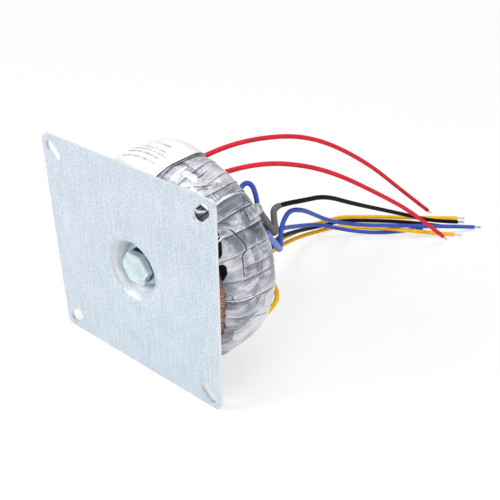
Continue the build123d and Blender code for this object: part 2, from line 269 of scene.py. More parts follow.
def grid_faces(rows, columns, close_rows=False, close_columns=False):
    """Four-sided faces of a grid of points, joined round where a direction is closed."""
    row = np.arange(rows if close_rows else rows - 1)
    column = np.arange(columns if close_columns else columns - 1)
    row, column = np.meshgrid(row, column, indexing="ij")
    next_row = (row + 1) % rows
    next_column = (column + 1) % columns
    faces = np.stack(
        [
            row * columns + column,
            row * columns + next_column,
            next_row * columns + next_column,
            next_row * columns + column,
        ],
        axis=-1,
    )
    return faces.reshape(-1, 4)


def thicken(piece, name, thickness, offset=-1):
    """Gives a thin sheet its thickness."""
    sheet = piece.modifiers.new(name, "SOLIDIFY")
    sheet.thickness = thickness
    sheet.offset = offset


def point_values(piece, name, values):
    """Stores one number per vertex for a material to read."""
    layer = piece.data.attributes.new(name, "FLOAT", "POINT")
    layer.data.foreach_set("value", np.asarray(values, np.float32).ravel())


def smooth_noise(across, along, cells, seed):
    """Random numbers on a lattice, blended by a smoothed step; across repeats at 1."""
    rng = np.random.default_rng(seed)
    lattice = rng.random((cells[0], cells[1] + 2))
    x = across * cells[0]
    y = np.clip(along, 0, 1) * cells[1]
    x0 = np.floor(x).astype(int)
    y0 = np.floor(y).astype(int)
    fx = x - x0
    fy = y - y0
    fx = fx * fx * (3 - 2 * fx)
    fy = fy * fy * (3 - 2 * fy)
    x1 = x0 + 1
    a = lattice[x0 % cells[0], y0] * (1 - fx) + lattice[x1 % cells[0], y0] * fx
    b = lattice[x0 % cells[0], y0 + 1] * (1 - fx) + lattice[x1 % cells[0], y0 + 1] * fx
    return a * (1 - fy) + b * fy


def ring_outline(sizes, inset, spots):
    """Points of the ring's section and their outward directions.

    The section is a rectangle with rounded corners, followed from the middle of the
    rim over the rear face, down the bore and back over the front face. Each spot is a
    share of the way round, from 0 to 1.
    """
    outer = sizes.radius - inset
    inner = sizes.bore + inset
    front = sizes.front + inset
    rear = sizes.front + sizes.height - inset
    corners = [
        (outer, rear, sizes.outer_round, -1, -1, 0),
        (inner, rear, sizes.inner_round, 1, -1, 90),
        (inner, front, sizes.inner_round, 1, 1, 180),
        (outer, front, sizes.outer_round, -1, 1, 270),
    ]
    line = [(outer, (front + rear) / 2, 1.0, 0.0)]
    for r, y, rounding, side, end, first in corners:
        turn = np.radians(np.linspace(first, first + 90, 25))
        for angle in turn:
            line.append((
                r + rounding * (side + cos(angle)),
                y + rounding * (end + sin(angle)),
                cos(angle),
                sin(angle),
            ))
    line.append(line[0])
    line = np.array(line)
    steps = np.hypot(np.diff(line[:, 0]), np.diff(line[:, 1]))
    walked = np.concatenate([[0], np.cumsum(steps)]) / steps.sum()
    return [np.interp(spots, walked, line[:, part]) for part in range(4)]


def around_ring(sizes, r, y, angle):
    """Points at a distance r from the ring's axis, turned from +X towards +Z."""
    return np.stack(
        [sizes.centre_x + r * np.cos(angle), y + 0 * angle, sizes.centre_z + r * np.sin(angle)],
        axis=-1,
    )


class Value:
    """Output of a node; arithmetic on it adds Math nodes."""

    def __init__(self, shader, socket):
        self.shader = shader
        self.socket = socket

    def _with(self, operation, first, second):
        inputs = {0: first, 1: second}
        return self.shader.node("ShaderNodeMath", {"operation": operation}, inputs)

    def __add__(self, other):
        return self._with("ADD", self, other)

    def __sub__(self, other):
        return self._with("SUBTRACT", self, other)

    def __rsub__(self, other):
        return self._with("SUBTRACT", other, self)

    def __mul__(self, other):
        return self._with("MULTIPLY", self, other)


class Finish:
    """Node tree of a procedural material, or of the world where one is given."""

    def __init__(self, name, world=None):
        self.material = world or bpy.data.materials.new(name)
        self.material.use_nodes = True
        self.tree = self.material.node_tree
        self.tree.nodes.clear()

    def node(self, kind, settings=None, inputs=None, output=0):
        """Adds a node: settings first, then values or links of its sockets."""
        made = self.tree.nodes.new(kind)
        for key, value in (settings or {}).items():
            if key == "stops":
                ramp = made.color_ramp.elements
                while len(ramp) < len(value):
                    ramp.new(0.5)
                for stop, (position, shade) in zip(ramp, value):
                    stop.position = position
                    stop.color = (*shade, 1)
            else:
                setattr(made, key, value)
        for key, value in (inputs or {}).items():
            if isinstance(value, Value):
                self.tree.links.new(value.socket, made.inputs[key])
            else:
                socket = made.inputs[key]
                if socket.type == "RGBA" and len(value) == 3:
                    value = (*value, 1)
                socket.default_value = value
        return Value(self, made.outputs[output]) if made.outputs else None

    def place(self, scale=(1, 1, 1), turn=(0, 0, 0)):
        """Object coordinates, stretched and turned."""
        where = self.node("ShaderNodeTexCoord", output="Object")
        return self.node(
            "ShaderNodeMapping", {}, {"Vector": where, "Scale": scale, "Rotation": turn}
        )

    def noise(self, scale, detail=3.0, roughness=0.55, distortion=0.0, where=None):
        """Cloudy pattern from 0 to 1, over the object where no other place is given."""
        return self.node("ShaderNodeTexNoise", {}, {
            "Vector": where or self.place(), "Scale": scale, "Detail": detail,
            "Roughness": roughness, "Distortion": distortion,
        })

    def cells(self, where, scale, feature="F1", output="Distance"):
        """Cell pattern."""
        inputs = {"Vector": where, "Scale": scale}
        return self.node("ShaderNodeTexVoronoi", {"feature": feature}, inputs, output)

    def cell_number(self, where, scale, part):
        """Random number of each cell, from one part of its colour."""
        cell = self.cells(where, scale, "F1", "Color")
        return self.node("ShaderNodeSeparateColor", {}, {"Color": cell}, part)

    def depth(self):
        """Distance from the plate's outer face."""
        where = self.node("ShaderNodeTexCoord", output="Object")
        return self.node("ShaderNodeSeparateXYZ", {}, {"Vector": where}, "Y")

    def distance(self, where):
        """Distance from the origin."""
        return self.node("ShaderNodeVectorMath", {"operation": "LENGTH"}, {0: where}, "Value")

    def sine(self, value):
        """Wave from -1 to 1."""
        return self.node("ShaderNodeMath", {"operation": "SINE"}, {0: value})

    def stored(self, name):
        """Number stored with the mesh."""
        return self.node("ShaderNodeAttribute", {"attribute_name": name}, output="Fac")

    def between(self, value, low, high, to_low=0.0, to_high=1.0):
        """Value moved from one span to another and held inside it."""
        return self.node("ShaderNodeMapRange", {"clamp": True}, {
            "Value": value, "From Min": low, "From Max": high,
            "To Min": to_low, "To Max": to_high,
        })

    def band(self, value, low, high, soft_low, soft_high):
        """Over 0 from low to high, rising over the first soft span and falling after high."""
        rise = self.between(value, low, low + soft_low)
        return rise - self.between(value, high, high + soft_high)

    def blend(self, mask, first, second):
        """Colour between two others."""
        inputs = {0: mask, 6: first, 7: second}
        return self.node("ShaderNodeMix", {"data_type": "RGBA"}, inputs, 2)

    def bump(self, height, strength, distance):
        """Normal from a height pattern."""
        inputs = {"Height": height, "Strength": strength, "Distance": distance}
        return self.node("ShaderNodeBump", {}, inputs)

    def surface(self, inputs):
        """Ends the material in one surface shader."""
        shader = self.node("ShaderNodeBsdfPrincipled", {}, inputs)
        self.node("ShaderNodeOutputMaterial", {}, {"Surface": shader})
        return self.material


def zinc_sheet(settings):
    """Bright zinc plating: fine mottled grains, pale and blue-grey, with a soft sheen and a
    painted highlight along the sheet's cut edges.
    """
    finish = Finish("zinc_sheet")
    grain = finish.noise(1050.0, 3.0, 0.75)
    streaks = finish.noise(700.0, 3.0, 0.6, where=finish.place((1, 1, 0.1)))
    cloud = finish.noise(70.0, 3.0, 0.6)
    mask = finish.between(grain * 0.75 + streaks * 0.25 + cloud * 0.2, 0.5, 0.7)
    base = finish.blend(mask, settings.zinc, settings.zinc_pale)
    away = finish.distance(finish.place((1, 0, 1)))
    # Painted highlight along the sheet's cut edges, away from the dish: the edge strip takes the
    # bright edge colour
    cut = finish.band(finish.depth(), 0.02 * MM, settings.sheet - 0.08 * MM, 0.08 * MM, 0.06 * MM)
    cut = cut * finish.between(away, settings.dish_clear, settings.dish_clear + MM)
    base = finish.blend(cut, base, settings.edge_highlight)
    ring = finish.sine(away * (2 * pi / settings.ring_pitch))
    pressed = finish.band(away, 9.6 * MM, 12.8 * MM, 1.4 * MM, 1.4 * MM)
    base = finish.blend(pressed * (ring * 0.18 + 0.3), base, settings.pressed)
    return finish.surface({
        "Base Color": base,
        "Metallic": 0.45,
        "Roughness": finish.between(grain * 0.5 + cloud * 0.5, 0.3, 0.7, 0.4, 0.55),
        "Normal": finish.bump(grain * 0.7 + streaks * 0.3, 0.4, 0.00006),
    })


def bright_steel(name, tint, roughness, bolt=None):
    """Plated fastener steel with handling scuffs.

    With the bolt's sizes it has a thread, which is a wave along +Y with one wave for each
    pitch, a near-white band round the front of the head, and painted shadow where the head
    meets the dish.
    """
    finish = Finish(name)
    scuff = finish.noise(300.0, 4.0, 0.65, where=finish.place((1, 6, 1)))
    cloud = finish.noise(160.0, 2.0)
    deep = tuple(0.72 * part for part in tint)
    mask = finish.between(scuff * 0.6 + cloud * 0.4, 0.35, 0.65)
    base = finish.blend(mask, deep, tint)
    normal = finish.bump(scuff, 0.2, 0.00004)
    if bolt:
        depth = finish.depth()
        wave = finish.sine(depth * (2 * pi / bolt.thread_pitch))
        thread = finish.band(depth, bolt.thread_from, bolt.thread_to, 0.1 * MM, 0.3 * MM)
        normal = finish.bump(wave * thread, 1.0, 0.0003)
        front, back = bolt.head_front, bolt.head_back
        # Near-white band on the head's flank just behind its front face
        pale_rim = finish.band(depth, front + 0.02 * MM, front + 0.6 * MM, 0.04 * MM, 0.2 * MM)
        base = finish.blend(pale_rim, base, (0.95, 1.0, 1.0))
        shadow = finish.band(depth, back - 2.7 * MM, back + 0.05 * MM, 0.9 * MM, 0.05 * MM)
        base = finish.blend(shadow, base, (0.01, 0.014, 0.016))
    return finish.surface({
        "Base Color": base,
        "Metallic": 0.85,
        "Roughness": finish.between(scuff, 0.3, 0.7, roughness * 0.75, roughness * 1.3),
        "Normal": normal,
    })


def pad_rubber():
    """Matt black rubber with fine dust."""
    finish = Finish("pad_rubber")
    dust = finish.noise(700.0, 3.0, 0.7)
    cloud = finish.noise(90.0)
    mask = finish.between(dust * 0.5 + cloud * 0.5, 0.45, 0.7)
    return finish.surface({
        "Base Color": finish.blend(mask, (0.018, 0.018, 0.02), (0.05, 0.05, 0.055)),
        "Roughness": finish.between(dust, 0.3, 0.7, 0.62, 0.85),
        "Normal": finish.bump(dust, 0.3, 0.00005),
    })


def cloudy(name, scale, span, first, second, bump, **more):
    """Two tones in clouds, uneven to the same pattern, with any other surface values."""
    finish = Finish(name)
    cloud = finish.noise(scale)
    return finish.surface({
        "Base Color": finish.blend(finish.between(cloud, *span), first, second),
        "Normal": finish.bump(cloud, *bump),
        **more,
    })


def hidden_layer(name, first, second, roughness):
    """Layer inside the ring, with faint clouds."""
    return cloudy(name, 260.0, (0.35, 0.65), first, second, (0.3, 0.0001), Roughness=roughness)


def copper_wire(settings):
    """Enamelled copper: deep red-brown in the grooves, with a painted highlight on the crests."""
    finish = Finish("enamelled_copper")
    crest = finish.stored("crest")
    cloud = finish.noise(500.0)
    # Painted highlight: the crests, broken up by clouds, take the brighter copper; the grooves
    # keep the enamel
    mask = finish.between(crest * 0.8 + cloud * 0.5, 0.5, 0.88)
    return finish.surface({
        "Base Color": finish.blend(mask, settings.enamel, settings.bare),
        "Metallic": 0.3,
        "Roughness": finish.between(cloud, 0.3, 0.7, 0.22, 0.38),
        "Coat Weight": 0.5,
        "Coat Roughness": 0.12,
    })


def film(settings):
    """Glossy grey film, darker where windings show through, with painted highlights and shade at
    band edges and folds.
    """
    finish = Finish("film_wrap")
    cloud = finish.noise(120.0, 4.0, 0.6, 0.6)
    fine = finish.noise(1000.0, 3.0, 0.65)
    wide = finish.place((1, 0.55, 1), (0.3, 0.2, 0.5))
    facets = finish.cells(wide, 95.0, "DISTANCE_TO_EDGE")
    small = finish.cells(finish.place((1, 0.7, 1), (0.7, 0.1, 0.2)), 260.0, "DISTANCE_TO_EDGE")
    patch = finish.cell_number(wide, 95.0, "Red")
    chip = finish.cell_number(finish.place(), 330.0, "Green")
    fold = finish.between(facets, 0.0, 0.03, 1.0, 0.0)
    glint = fold * finish.between(cloud, 0.5, 0.62)
    shade = fold * finish.between(cloud, 0.38, 0.5, 1.0, 0.0)
    tone = finish.stored("tone") + (patch - 0.5) * 0.22 + (cloud - 0.5) * 0.45
    tone = tone + (fine - 0.5) * 0.15 + (chip - 0.5) * 0.16 + glint * 0.6 - shade * 0.4
    tone = tone + finish.between(patch, 0.88, 0.9) * 0.35
    tone = tone - finish.between(patch, 0.1, 0.12, 1, 0) * 0.2
    base = finish.node(
        "ShaderNodeValToRGB",
        {"stops": [
            (0.0, settings.dark),
            (0.48, settings.middle),
            (1.0, settings.light),
        ]},
        {0: tone},
    )
    # Painted highlight: near-white lines along the bands' raised edges, and a fainter one a
    # little inside each band
    edge = finish.between(finish.stored("edge") + (fine - 0.5) * 0.3, 0.2, 0.75)
    base = finish.blend(edge, base, (0.90, 0.90, 0.93))
    fold_line = finish.stored("dark_fold") + (cloud - 0.5) * 0.9 + (fine - 0.5) * 0.5
    base = finish.blend(finish.between(fold_line, 0.6, 0.95), base, (0.02, 0.022, 0.03))
    ragged = (cloud - 0.5) * 0.8 + (fine - 0.5) * 0.5
    glare = finish.between(finish.stored("glare") + ragged, 0.4, 0.75)
    # Near-black glossy patches on the near rim, from the black strokes
    black = finish.between(finish.stored("black_tape") + ragged * 0.5, 0.4, 0.6) * (1 - glare)
    base = finish.blend(black, base, (0.006, 0.006, 0.008))
    base = finish.blend(glare, base, (0.88, 0.88, 0.91))
    height = cloud * 0.35 + fine * 0.05 + facets * 0.9 + small * 0.25
    return finish.surface({
        "Base Color": base,
        "Metallic": black * 0.9,
        "Roughness": finish.between(cloud + fine * 0.3, 0.45, 0.85, 0.13, 0.32) + black * 0.3,
        "Coat Weight": 0.5 - black * 0.5,
        "Coat Roughness": 0.05,
        "Normal": finish.bump(height, 0.5, 0.0012),
    })


def clear_tape():
    """Clear tape over film, milky where it stands off."""
    return cloudy(
        "clear_tape", 400.0, (0.42, 0.68), (0.27, 0.29, 0.34), (0.72, 0.73, 0.78), (0.4, 0.0004),
        **{"Roughness": 0.18, "Coat Weight": 0.6, "Coat Roughness": 0.05},
    )


def paper_label():
    """White label paper under clear film, slightly uneven."""
    finish = Finish("label_paper")
    fibre = finish.noise(1200.0)
    cloud = finish.noise(60.0)
    return finish.surface({
        "Base Color": finish.blend(
            finish.stored("ink"),
            finish.blend(cloud, (0.84, 0.84, 0.85), (0.92, 0.92, 0.92)),
            (0.03, 0.03, 0.035),
        ),
        "Roughness": finish.between(fibre, 0.3, 0.7, 0.3, 0.45),
        "Coat Weight": 0.4,
        "Coat Roughness": 0.1,
        "Normal": finish.bump(cloud * 0.8 + fibre * 0.2, 0.3, 0.0004),
    })


def insulation(name, tint):
    """Smooth lead insulation with a soft gloss and faint scuffs."""
    finish = Finish(name)
    cloud = finish.noise(240.0)
    fine = finish.noise(1600.0, 2.0)
    deep = tuple(0.78 * part for part in tint)
    return finish.surface({
        "Base Color": finish.blend(finish.between(cloud, 0.3, 0.7), deep, tint),
        "Roughness": finish.between(fine * 0.4 + cloud * 0.6, 0.3, 0.7, 0.4, 0.55),
        "Specular IOR Level": 0.03,
        "Normal": finish.bump(fine, 0.12, 0.00004),
    })


def tinned_strands():
    """Tinned copper strands, silver with a warm tone here and there."""
    finish = Finish("tinned_strands")
    cloud = finish.noise(900.0)
    return finish.surface({
        "Base Color": finish.blend(cloud, (0.52, 0.47, 0.40), (0.82, 0.80, 0.78)),
        "Metallic": 0.9,
        "Roughness": finish.between(cloud, 0.3, 0.7, 0.22, 0.42),
    })


def floor_paper(settings):
    """Pale paper: seen floor is mostly plain white, and keeps the object's shadow."""
    finish = Finish("floor_paper")
    fibre = finish.noise(35.0, 2.0)
    paler = tuple(min(1, 1.03 * part) for part in settings.floor)
    base = finish.blend(fibre, settings.floor, paler)
    paper = finish.node("ShaderNodeBsdfPrincipled", {}, {"Base Color": base, "Roughness": 0.9})
    white = finish.node("ShaderNodeEmission", {}, {"Color": (1, 1, 1), "Strength": 1.0})
    rays = [
        finish.node("ShaderNodeLightPath", output=name)
        for name in ("Is Camera Ray", "Is Glossy Ray", "Is Transmission Ray")
    ]
    seen = finish.between(rays[0] + rays[1] + rays[2], 0, 1)
    share = finish.between(finish.distance(finish.place()), 0.25, 0.8, settings.whiteness, 1.0)
    mix = finish.node("ShaderNodeMixShader", {}, {0: seen * share, 1: paper, 2: white})
    finish.node("ShaderNodeOutputMaterial", {}, {"Surface": mix})
    return finish.material


class TRANSFORMER_OT_camera(bpy.types.Operator):
    """Camera at the product view"""

    bl_idname = "transformer.camera"
    bl_label = "Camera"

    def execute(self, context):
        yaw, pitch, roll = radians(-40.68), radians(31.62), radians(-0.55)
        ahead = Vector((sin(yaw) * cos(pitch), cos(yaw) * cos(pitch), -sin(pitch)))
        level = Vector((cos(yaw), -sin(yaw), 0))
        over = level.cross(ahead)
        right = level * cos(roll) + over * sin(roll)
        up = over * cos(roll) - level * sin(roll)
        data = bpy.data.cameras.new("product_camera")
        data.lens = 58.5
        data.sensor_width = 36
        data.clip_start = 0.01
        camera = bpy.data.objects.new("product_camera", data)
        camera.matrix_world = Matrix((
            (right.x, up.x, -ahead.x, 215.5 * MM),
            (right.y, up.y, -ahead.y, -176.7 * MM),
            (right.z, up.z, -ahead.z, 178.5 * MM),
            (0, 0, 0, 1),
        ))
        context.scene.collection.objects.link(camera)
        context.scene.camera = camera
        return {"FINISHED"}


def lead_curve(name, points, settings, material):
    """Lead as one smooth curve: the route's points pull a spline of order three."""
    data = bpy.data.curves.new(name, "CURVE")
    data.dimensions = "3D"
    data.resolution_u = 10
    data.bevel_depth = settings.diameter / 2
    data.bevel_resolution = 5
    data.use_fill_caps = True
    spline = data.splines.new("NURBS")
    spline.points.add(len(points) - 1)
    for point, place in zip(spline.points, points):
        point.co = (*place, 1)
    spline.order_u = 3
    spline.use_endpoint_u = True
    data.materials.append(material)
    piece = bpy.data.objects.new(name, data)
    bpy.context.scene.collection.objects.link(piece)
    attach(piece, "root")
    return piece


def centre_line(piece):
    """Points that the lead's spline runs through, from the winding to the tip."""
    data = piece.data.copy()
    data.bevel_depth = 0
    bare = bpy.data.objects.new("centre_line", data)
    bpy.context.scene.collection.objects.link(bare)
    bpy.context.view_layer.update()
    mesh = bpy.data.meshes.new_from_object(bare)
    line = np.empty(len(mesh.vertices) * 3)
    mesh.vertices.foreach_get("co", line)
    bpy.data.meshes.remove(mesh)
    bpy.data.objects.remove(bare)
    bpy.data.curves.remove(data)
    return line.reshape(-1, 3)


def tube_grid(line, radius, sides):
    """Rings of points round a line, square to it; radius may change along it."""
    along = np.gradient(line, axis=0)
    along /= np.linalg.norm(along, axis=1, keepdims=True)
    side = np.cross(along, (0.13, 0.21, 1.0))
    side /= np.linalg.norm(side, axis=1, keepdims=True)
    up = np.cross(side, along)
    turn = np.linspace(0, 2 * pi, sides, endpoint=False)
    around = side[:, None] * np.cos(turn)[None, :, None]
    around = around + up[:, None] * np.sin(turn)[None, :, None]
    return line[:, None] + around * np.broadcast_to(radius, len(line))[:, None, None]


class TRANSFORMER_OT_leads(bpy.types.Operator):
    """Eight insulated leads with stripped ends and sleeves"""

    bl_idname = "transformer.leads"
    bl_label = "Leads"

    def execute(self, context):
        settings = context.scene.transformer_leads
        tinned = tinned_strands()
        finishes = {
            word: insulation("insulation_" + word, getattr(settings, word))
            for word in ("red", "black", "blue", "yellow")
        }
        sleeve_finishes = {
            "black": insulation("grey_sleeve", settings.grey_sleeve),
            "blue": insulation("blue_sleeve", settings.blue_sleeve),
        }
        for name, points in LEAD_ROUTES.items():
            word = name.split("_")[0]
            piece = lead_curve("insulated_" + name, points, settings, finishes[word])
            "lead_" + word
            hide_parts("lead_" + name)
            line = centre_line(piece)
            pieces = [strand_bundle(name, line, settings, tinned)]
            if name in SLEEVE_RUNS:
                pieces.append(sleeve(name, line, settings, sleeve_finishes[word]))
        return {"FINISHED"}


def strand_bundle(name, line, settings, material):
    """Seven twisted strands that spread a little towards their ends."""
    tip = line[-1]
    along = line[-1] - line[-3]
    along /= np.linalg.norm(along)
    side = np.cross(along, (0, 0, 1.0))
    side /= np.linalg.norm(side)
    up = np.cross(side, along)
    rng = np.random.default_rng(sum(map(ord, name)))
    rings, sides = 12, 6
    share = np.linspace(0, 1, rings)
    points, faces, count = [], [], 0
    for strand in range(7):
        ring = 0 if strand == 0 else 0.30 * MM
        angle = strand * pi / 3 + 1.6 * share
        spread = ring * (1 + 0.35 * share ** 2)
        reach = settings.bare_length * (0.90 + 0.1 * rng.random())
        path = tip + np.outer(share * reach, along)
        path += np.outer(spread * np.cos(angle), side) + np.outer(spread * np.sin(angle), up)
        grid = tube_grid(path, settings.strand / 2 * np.where(share > 0.97, 0.5, 1), sides)
        faces.append(grid_faces(rings, sides, close_columns=True) + count)
        points.append(grid.reshape(-1, 3))
        count += grid.shape[0] * sides
        faces.append(count - sides + np.array([(0, 1, 2, 3), (3, 4, 5, 0)]))
    piece = mesh_piece(
        "bare_end_" + name, np.concatenate(points), np.concatenate(faces), material
    )
    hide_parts("strands_" + name)
    return piece


def sleeve(name, line, settings, material):
    """Sleeve along the lead's first runs: an outer tube, an end face and an inner tube."""
    runs = SLEEVE_RUNS[name]
    corners = np.array(LEAD_ROUTES[name][: runs + 1])
    last = (corners[-2] + corners[-1]) / 2
    walked = np.concatenate([[0], np.cumsum(np.linalg.norm(np.diff(line, axis=0), axis=1))])
    reach = walked[np.argmin(np.linalg.norm(line - last, axis=1))]
    spots = np.linspace(0, reach, 90)
    sides = 20
    path = np.stack([np.interp(spots, walked, line[:, part]) for part in range(3)], axis=-1)
    swell = 0.34 * MM - 0.07 * MM * np.abs(np.sin(spots / (2.1 * MM))) ** 3
    swell[-4:] = np.linspace(0.26, 0.12, 4) * MM
    outside = tube_grid(path, settings.diameter / 2 + swell, sides)
    inside = tube_grid(path, settings.diameter / 2 + 0.03 * MM, sides)
    grid = np.concatenate([outside, inside[::-1]])
    faces = grid_faces(*grid.shape[:2], True, True)
    piece = mesh_piece("sleeve_on_" + name, grid, faces, material, 0.8)
    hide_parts("sleeve_" + name)
    return piece


class TRANSFORMER_OT_copper(bpy.types.Operator):
    """Copper turns of the winding"""

    bl_idname = "transformer.copper"
    bl_label = "Copper turns"

    def execute(self, context):
        sizes = context.scene.transformer_winding
        settings = context.scene.transformer_copper
        turns = int(2 * pi * sizes.radius / settings.wire)
        per_turn = 5
        rows = 44
        spots = np.linspace(0, 1, rows, endpoint=False)
        r, y, out_r, out_y = ring_outline(sizes, settings.inset, spots)
        angle = np.linspace(0, 2 * pi, turns * per_turn, endpoint=False)
        phase = np.arange(turns * per_turn) % per_turn / per_turn
        ridge = np.abs(np.sin(pi * phase)) ** 0.7
        rng = np.random.default_rng(4)
        uneven = np.repeat(rng.random(turns), per_turn) * 0.35
        lift = (ridge * (1 - 0.2 * uneven) - 1) * settings.wire * 0.45
        lean = settings.lean * np.sin(2 * pi * spots) * sizes.height / 2 / sizes.radius
        spread = angle[None, :] + lean[:, None]
        radius = r[:, None] + out_r[:, None] * lift[None, :]
        depth = y[:, None] + out_y[:, None] * lift[None, :]
        grid = around_ring(sizes, radius, depth, spread)
        faces = grid_faces(*grid.shape[:2], True, True)
        piece = mesh_piece(
            "copper_turns", grid, faces, copper_wire(settings)
        )
        point_values(piece, "crest", np.broadcast_to(ridge * (1 - uneven), grid.shape[:2]))
        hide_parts("secondary_winding")
        return {"FINISHED"}


# Angles in degrees of the turns' edges on the near side, at half the ring's height
NEAR_EDGES = np.array([
    -57, -47.5, -38, -29, -20, -9.5, 1.0, 12.2, 17.5, 25.2, 35.2, 43.5, 51.2, 57.0, 62.5, 72
])

# Places across one band where the film's surface is worked out, close together at its edges
BAND_PHASES = np.array([
    0, 0.02, 0.045, 0.08, 0.12, 0.16, 0.20, 0.26, 0.34, 0.43, 0.53, 0.63, 0.73, 0.83, 0.91,
    0.96, 0.995
])


def film_rows():
    """Places round the section, close together except in the bore."""
    return np.concatenate([
        np.linspace(0.0, 0.20, 38, endpoint=False),
        np.linspace(0.20, 0.40, 22, endpoint=False),
        np.linspace(0.40, 0.60, 14, endpoint=False),
        np.linspace(0.60, 0.80, 24, endpoint=False),
        np.linspace(0.80, 1.0, 60, endpoint=False),
    ])


class TRANSFORMER_OT_film(bpy.types.Operator):
    """Film wound in overlapping bands, open over the copper next to the plate"""

    bl_idname = "transformer.film"
    bl_label = "Film"

    def execute(self, context):
        sizes = context.scene.transformer_winding
        settings = context.scene.transformer_film
        spots = film_rows()
        r, y, out_r, out_y = ring_outline(sizes, 0, spots)
        rng = np.random.default_rng(11)
        far = np.linspace(NEAR_EDGES[-1], NEAR_EDGES[0] + 360, settings.bands + 1)[1:-1]
        far = far + (rng.random(len(far)) - 0.5) * 5
        first = np.radians(np.concatenate([NEAR_EDGES, far]))
        count = len(first)
        middle = sizes.front + sizes.height / 2
        lean = 0.03 - 0.25 * np.cos(first + 0.7) + 0.05 * (rng.random(count) - 0.5)
        wave = rng.random(count) * 2 * pi
        edges = (
            first[:, None]
            + lean[:, None] * (y[None, :] - middle) / sizes.radius
            + 0.006 * np.sin(2 * pi * 3 * spots[None, :] + wave[:, None])
        )
        following = np.concatenate([edges[1:], edges[:1] + 2 * pi])
        angle = edges[:, None] + (following - edges)[:, None] * BAND_PHASES[None, :, None]
        columns = count * len(BAND_PHASES)
        angle = angle.reshape(columns, -1).T
        step = np.tile(BAND_PHASES, count)[None, :]
        band = np.repeat(np.arange(count), len(BAND_PHASES))
        across = (angle / (2 * pi)) % 1
        along = np.broadcast_to(spots[:, None], angle.shape)
        slow = smooth_noise(across, along, (46, 22), 5)
        tight = smooth_noise((across + 0.06 * along) % 1, along, (190, 30), 6)
        sharp = 1 - np.abs(2 * tight - 1)
        long_fold = 1 - np.abs(2 * smooth_noise(across, along, (130, 9), 7) - 1)
        lift = settings.rise * (0.5 - step)
        wrinkles = (slow - 0.5) * 1.2 + 0.5 * (sharp ** 5 - 0.25) + 0.9 * (long_fold ** 6 - 0.2)
        lift = lift + settings.wrinkle * wrinkles
        crease = creases(sizes, angle, y[:, None], r[:, None])
        lift = np.minimum(lift + 0.2 * MM * crease, 0.2 * MM)
        window = window_share(sizes, angle, r[:, None], y[:, None])
        radius = r[:, None] + out_r[:, None] * lift
        depth = y[:, None] + out_y[:, None] * lift
        grid = around_ring(sizes, radius, depth, angle)
        faces = grid_faces(*grid.shape[:2], True, True)
        shut = window.reshape(-1)[faces].mean(axis=1) < 0.5
        used, faces = np.unique(faces[shut], return_inverse=True)
        piece = mesh_piece(
            "film_bands", grid.reshape(-1, 3)[used], faces.reshape(-1, 4),
            film(settings), 0.6,
        )
        tones = 0.30 + 0.30 * rng.random(count)[band][None, :]
        # Painted shadow: each band is darker just before its end, at the foot of the next band's
        # raised edge
        tones = tones + 0.55 * (slow - 0.5) + 0.16 * (0.5 - step) - 0.22 * (step > 0.9)
        # Painted highlight: lighter along the raised long folds and the creases
        tones = tones + 0.35 * (long_fold ** 8) + 0.3 * crease
        turned = turned_degrees(angle)
        # Painted sheen: the film over the top of the ring, from 50 to 100 degrees round it, is
        # lighter
        tones = tones + 0.04 + 0.26 * np.clip((turned - 50) / 8, 0, 1) * (turned < 100)
        broken = smooth_noise(across, along, (32, 40), 8)
        strength = (0.35 + 0.65 * rng.random(count))[band][None, :] * (0.35 + 0.9 * broken)
        under = 0.10 + 0.12 * rng.random(count)[band][None, :]
        # Painted highlight lines: a bright one on each band's raised edge and a fainter one a
        # little inside the band
        line = strength * np.clip(1.4 - step / 0.05, 0, 1)
        line = line + 0.6 * strength * np.exp(-(((step - under) / 0.03) ** 2))
        for name, values in {
            "tone": np.broadcast_to(tones, angle.shape),
            "edge": np.clip(line, 0, 1),
            "dark_fold": crease,
            "black_tape": strokes(sizes, angle, y[:, None], r[:, None], BLACK_STROKES),
            "glare": strokes(sizes, angle, y[:, None], r[:, None], GLARE_STROKES),
        }.items():
            point_values(piece, name, values.reshape(-1)[used])
        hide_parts("outer_wrap")
        return {"FINISHED"}


def turned_degrees(angle):
    """Angle round the ring in degrees, from -180 to 180."""
    return np.degrees((angle + pi) % (2 * pi) - pi)


def window_share(sizes, angle, r, y):
    """Over a half where the film is open: an arc of the rim next to the plate."""
    turned = turned_degrees(angle)
    ends = (23.0 - np.abs(turned + 1.5)) * 0.8 * MM
    depth = 3.3 * MM + 0.22 * MM * np.sin(0.31 * turned) + 0.16 * MM * np.sin(0.9 * turned)
    inside = np.minimum(ends, sizes.front + depth - y)
    inside = np.where(r > 33.5 * MM, inside, -MM)
    return np.clip(0.5 + inside / (1.6 * MM), 0, 1)


